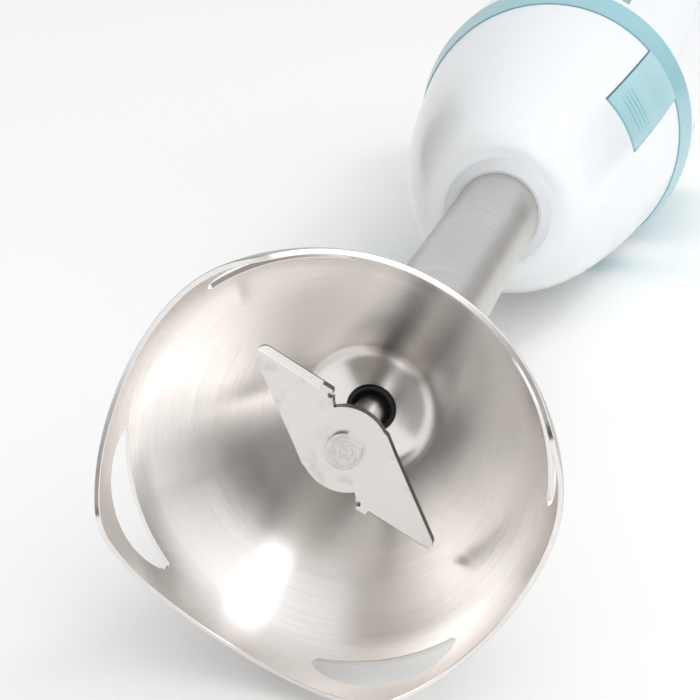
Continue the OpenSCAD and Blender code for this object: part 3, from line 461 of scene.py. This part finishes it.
# a brown-yellow metal, dulled by its pores
bronze = fine_grained("sintered_bronze", "#b58a52", "#a67d49", roughness=0.42,
                      grain_mm=0.12, depth_mm=0.01, metallic=1.0)
dress(bronze, "lower_bush", "upper_bush", "front_bearing", "rear_bearing")

# ---------------------------------------------------------------------------
# Tube and collar. Drawn stainless tube, satin brushed round its girth, in a
# moulded collar of pale plastic where it enters the cone.

# greyer and softer than the bell, with a smear of light along the tube
tube_steel = turned_metal("satin_stainless_tube", "#d0ccc8", "#c6c2be", roughness=0.3,
                          line_mm=0.5, depth_mm=0.003, anisotropy=0.7)
dress(tube_steel, "foot_tube")
# a pale half gloss
collar_abs = fine_grained("moulded_grey_abs", "#dfe2e4", "#d9dcdf", roughness=0.3,
                          grain_mm=0.2, depth_mm=0.004)
dress(collar_abs, "tube_collar", "cord_gland")

# ---------------------------------------------------------------------------
# Coupling cone and housing. Injection-moulded white ABS from a polished mould, and
# so are the rear cap and the turbo key.

# cool white with crisp highlights, barely waved by the flow of the plastic
white_abs = fine_grained("polished_white_abs", "#f3f6f8", "#eff3f5", roughness=0.16,
                         grain_mm=0.4, depth_mm=0.002, patch_mm=40.0)
dress(white_abs, "coupling_cone", "housing_front", "housing_back", "rear_cap", "turbo_button")

# ---------------------------------------------------------------------------
# Blade and drive shaft. The blade is stamped from stainless sheet, tumbled to a
# satin skin and ground along its edges; the shaft is a ground bar, riveted over it.

# an even satin skin, with a painted highlight along the ground edges and painted shade on the cut
# flanks
blade_steel, tree = new_material("tumbled_stainless_sheet")
place = put(tree, "ShaderNodeTexCoord").outputs["Object"]
normal = put(tree, "ShaderNodeTexCoord").outputs["Normal"]
flatness = put(tree, "ShaderNodeMath", {
    0: put(tree, "ShaderNodeSeparateXYZ", {0: normal}).outputs["Y"]},
    operation="ABSOLUTE").outputs[0]
# faces that lean a little are the ground edges, painted lighter as a highlight; those across the
# sheet are the cut flanks, painted darker as shade
ground_begins, ground_full, flank_shade_begins, flank_shade_full = 0.985, 0.965, 0.6, 0.4
ground_edge_and_highlight = put(tree, "ShaderNodeMapRange", {
    0: flatness, 1: ground_begins, 2: ground_full}).outputs[0]
painted_flank_shade = put(tree, "ShaderNodeMapRange", {
    0: flatness, 1: flank_shade_begins, 2: flank_shade_full}).outputs[0]
# faint stains of food and water, 3 mm apart
stains_a_metre, stain_begins, stain_full, stain_strength = 330.0, 0.56, 0.72, 0.32
stain_noise = put(tree, "ShaderNodeTexNoise", {
    "Vector": place, "Scale": stains_a_metre, "Detail": 5.0}).outputs["Fac"]
stains = put(tree, "ShaderNodeMapRange", {
    0: stain_noise, 1: stain_begins, 2: stain_full, 4: stain_strength}).outputs[0]
skin = srgb("#e6e1dd")
# the stains are real; the near white on the ground edges is a painted highlight, and the grey-brown
# on the cut flanks is painted shade
for share, tone in ((stains, "#a89f96"), (ground_edge_and_highlight, "#fbfaf9"), (painted_flank_shade, "#a39b94")):
    skin = put(tree, "ShaderNodeMix", {
        "Factor": share, "A": skin, "B": srgb(tone)}, data_type="RGBA").outputs[2]
satin_roughness, ground_roughness = 0.36, 0.24
gloss = put(tree, "ShaderNodeMapRange", {
    0: ground_edge_and_highlight, 3: satin_roughness, 4: ground_roughness}).outputs[0]
# the tumbling stones leave dents finer than 0.1 mm, drawn 0.25 mm apart so that they show
dents_mm, dent_depth_mm, edge_round_mm = 0.25, 0.006, 0.08
dents = put(tree, "ShaderNodeTexNoise", {
    "Vector": place, "Scale": 1000 / dents_mm, "Detail": 2.0}).outputs["Fac"]
rounded = put(tree, "ShaderNodeBevel", {"Radius": edge_round_mm / 1000}, samples=4).outputs[0]
bump = put(tree, "ShaderNodeBump", {
    "Strength": 0.3, "Distance": dent_depth_mm / 1000, "Height": dents, "Normal": rounded})
shader = put(tree, "ShaderNodeBsdfPrincipled", {
    "Base Color": skin, "Metallic": 1.0, "Roughness": gloss, "Normal": bump.outputs[0]})
put(tree, "ShaderNodeOutputMaterial", {"Surface": shader.outputs[0]})
dress(blade_steel, "blade")
# a bright bar whose highlights are drawn out along it
shaft_steel = turned_metal("ground_steel_bar", "#dddad7", "#c4c1be", roughness=0.22,
                           line_mm=0.3, depth_mm=0.004, anisotropy=0.6)
dress(shaft_steel, "drive_shaft", "motor_shaft")

# ---------------------------------------------------------------------------
# Screws and springs. Zinc-plated screws, and springs wound from drawn steel wire, which stand on
# the housing under their keys.

# a cool grey metal, faintly clouded by the plating
zinc = fine_grained("zinc_plated_steel", "#c6c9cc", "#b7babd", roughness=0.28,
                    grain_mm=0.3, depth_mm=0.004, metallic=1.0, edge_mm=0.12)
dress(zinc, "motor_screws", "housing_screws")
# the grey skin that drawing leaves
spring_wire = fine_grained("drawn_spring_wire", "#a5a4a2", "#92918f", roughness=0.3,
                           grain_mm=0.15, depth_mm=0.005, metallic=1.0, edge_mm=0.05)


def key_spring(node, angle, foot, top, coil_r, turns):
    """Winds a spring along a direction out from the tool's axis, sizes in millimetres"""
    wire_r, wire_sides, steps_a_turn, slack = 0.35, 10, 24, 0.1
    low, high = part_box(node)
    base = Vector((0, (low[1] + high[1]) / 2, axis_height))
    back = Vector((0, 1, 0))
    out = Vector((math.cos(math.radians(angle)), 0, -math.sin(math.radians(angle))))
    side = out.cross(back)
    steps = turns * steps_a_turn
    points = []
    for i in range(steps + 1):
        wind = 2 * math.pi * turns * i / steps
        outward = side * math.cos(wind) + back * math.sin(wind)
        # the end turns lie closed, flat against their seats
        share = min(max((i / steps - 0.5 / turns) * turns / (turns - 1), 0), 1)
        height = foot + wire_r + (top - foot - 2 * wire_r) * share
        for k in range(wire_sides):
            around = 2 * math.pi * k / wire_sides
            points.append(base + (outward * (coil_r + wire_r * math.cos(around))
                                  + out * (height + wire_r * math.sin(around))) / 1000)
    faces = []
    for i in range(steps):
        here, beyond = i * wire_sides, (i + 1) * wire_sides
        faces += [(here + k, here + (k + 1) % wire_sides, beyond + (k + 1) % wire_sides, beyond + k)
                  for k in range(wire_sides)]
    # the wire's two cut ends
    faces.append(tuple(range(wire_sides))[::-1])
    faces.append(tuple(steps * wire_sides + k for k in range(wire_sides)))
    coil = link_mesh("wound_" + node, points, faces, spring_wire)
    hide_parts(node)
    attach(coil, "handle")
    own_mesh(coil)


for hand, angle in (("right", 330), ("left", 150)):
    key_spring("release_spring_" + hand, angle,
               foot=16.05, top=27.85, coil_r=1.8, turns=6)
for key, coil_r in (("power", 6.0), ("turbo", 5.2)):
    key_spring(key + "_spring", angle=240,
               foot=20.85, top=27.15, coil_r=coil_r, turns=4)

# ---------------------------------------------------------------------------
# Aqua parts. The band, the dial and the power key are glossy ABS, the release
# tongues a paler aqua, and the grip is soft rubber moulded over the housing. The
# keys sit in a panel of grey ABS.

# a clear aqua gloss
aqua_abs = fine_grained("polished_aqua_abs", "#8cc4cf", "#86bfca", roughness=0.2,
                        grain_mm=0.3, depth_mm=0.003)
dress(aqua_abs, "band_ring", "power_button", "speed_dial")
# paler and a little softer in its shine
pale_aqua = fine_grained("pale_aqua_abs", "#a6d2da", "#a0ced7", roughness=0.25,
                         grain_mm=0.3, depth_mm=0.003)
dress(pale_aqua, "release_button_right", "release_button_left")
# matt, with a grain that catches the light
grip_rubber = fine_grained("soft_aqua_rubber", "#6fb2bf", "#69acb9", roughness=0.6,
                           grain_mm=0.4, depth_mm=0.03)
dress(grip_rubber, "soft_grip")
# a satin grey, duller than the white housing round it
panel_abs = fine_grained("satin_grey_abs", "#cfd6da", "#cad1d5", roughness=0.35,
                         grain_mm=0.2, depth_mm=0.006)
dress(panel_abs, "control_panel")

# ---------------------------------------------------------------------------
# Black mouldings. Couplers, brackets, fan, brush holders and switch bodies are
# moulded from nylon filled with glass fibres.

# dull near-black, mottled every few millimetres by the fibres
black_nylon = fine_grained("glass_filled_nylon", "#26282a", "#313437", roughness=0.5,
                           grain_mm=0.2, depth_mm=0.01, patch_mm=3.0)
dress(black_nylon, "driven_coupler", "drive_coupler", "cooling_fan", "front_bracket",
      "rear_bracket", "brush_holders", "micro_switches", "speed_control")

# ---------------------------------------------------------------------------
# Motor. Cores stacked from 0.5 mm iron sheet, coils of 0.6 mm enamelled wire,
# a commutator of copper bars parted by mica, and brushes of pressed carbon.


def banded(name, ramp, bands_a_unit, gap_share, band, gap, roughness, depth_mm, metallic=1.0):
    """Bands of one material parted by thin gaps, counted along the axis, out from it or
    round it"""
    gap_roughness = min(1.0, roughness + 0.25)
    material, tree = new_material(name)
    radius, direction, along = round_the_axis(tree)
    sides = put(tree, "ShaderNodeSeparateXYZ", {0: direction}).outputs
    turn = put(tree, "ShaderNodeMath", {
        0: sides["Z"], 1: sides["X"]}, operation="ARCTAN2").outputs[0]
    value = {"along": along, "radius": radius, "turn": turn}[ramp]
    bands = put(tree, "ShaderNodeMath", {
        0: value, 1: bands_a_unit}, operation="MULTIPLY").outputs[0]
    phase = put(tree, "ShaderNodeMath", {0: bands}, operation="FRACT").outputs[0]
    middle = put(tree, "ShaderNodeMath", {0: phase, 1: 0.5}, operation="SUBTRACT").outputs[0]
    beside = put(tree, "ShaderNodeMath", {0: middle}, operation="ABSOLUTE").outputs[0]
    edge = put(tree, "ShaderNodeMapRange", {
        0: beside, 1: 0.5 - gap_share, 2: 0.5}, interpolation_type="SMOOTHSTEP").outputs[0]
    skin = put(tree, "ShaderNodeMix", {
        "Factor": edge, "A": srgb(band), "B": srgb(gap)}, data_type="RGBA").outputs[2]
    proud = put(tree, "ShaderNodeMath", {0: 1.0, 1: edge}, operation="SUBTRACT").outputs[0]
    bump = put(tree, "ShaderNodeBump", {
        "Strength": 0.5, "Distance": depth_mm / 1000, "Height": proud})
    worn = put(tree, "ShaderNodeMapRange", {0: edge, 3: roughness, 4: gap_roughness}).outputs[0]
    shader = put(tree, "ShaderNodeBsdfPrincipled", {
        "Base Color": skin, "Metallic": metallic, "Roughness": worn, "Normal": bump.outputs[0]})
    put(tree, "ShaderNodeOutputMaterial", {"Surface": shader.outputs[0]})
    return material


sheets_a_metre = round(1000 / 0.5)
wires_a_metre = round(1000 / 0.6)
bars_a_radian = 24 / (2 * math.pi)
# grey, with the dark joints between the sheets
iron = banded("stacked_iron_sheet", "along", sheets_a_metre, gap_share=0.14,
              band="#8f9194", gap="#4c4d4f", roughness=0.4, depth_mm=0.04)
dress(iron, "motor_core", "armature")
# rows of red-brown wire under clear enamel, with shadow between them
copper = banded("enamelled_copper_wire", "radius", wires_a_metre, gap_share=0.4,
                band="#b5653a", gap="#5f2f1a", roughness=0.28, depth_mm=0.2)
dress(copper, "field_coils")
# bright turned copper in bars, with dark mica between
commutator_bars = banded("turned_copper_bars", "turn", bars_a_radian, gap_share=0.05,
                         band="#c98a5e", gap="#3a2c24", roughness=0.25, depth_mm=0.1)
dress(commutator_bars, "commutator")
# black and dull, with a faint mottle
carbon = fine_grained("pressed_carbon", "#1a1a1b", "#242426", roughness=0.6,
                      grain_mm=0.2, depth_mm=0.01, patch_mm=2.0)
dress(carbon, "carbon_brushes")

# ---------------------------------------------------------------------------
# Switch board. Glass-epoxy board under green solder mask, with the raised lines
# of the copper tracks that run along it.

# sizes in millimetres: the tracks' width and height, and the fields that they part
track_width, track_height, field_length, field_width = 0.22, 0.04, 6.0, 1.6
board_side = (0.866, 0, 0.5)

# a satin dark green, paler over the tracks
board, tree = new_material("green_circuit_board")
place = put(tree, "ShaderNodeTexCoord").outputs["Object"]
board_across = put(tree, "ShaderNodeVectorMath", {
    0: place, 1: board_side}, operation="DOT_PRODUCT").outputs["Value"]
board_along = put(tree, "ShaderNodeSeparateXYZ", {0: place}).outputs["Y"]
laid = put(tree, "ShaderNodeCombineXYZ", {0: board_along, 1: board_across}).outputs[0]
tracks = put(tree, "ShaderNodeTexBrick", {
    "Vector": laid, "Scale": 1000.0, "Mortar Size": track_width, "Mortar Smooth": 0.3,
    "Brick Width": field_length, "Row Height": field_width,
    "Color1": srgb("#1f6b3c"), "Color2": srgb("#1b6236"), "Mortar": srgb("#39925a")}).outputs
bump = put(tree, "ShaderNodeBump", {
    "Strength": 0.4, "Distance": track_height / 1000, "Height": tracks["Fac"]})
shader = put(tree, "ShaderNodeBsdfPrincipled", {
    "Base Color": tracks["Color"], "Roughness": 0.35, "Normal": bump.outputs[0]})
put(tree, "ShaderNodeOutputMaterial", {"Surface": shader.outputs[0]})
dress(board, "switch_board")
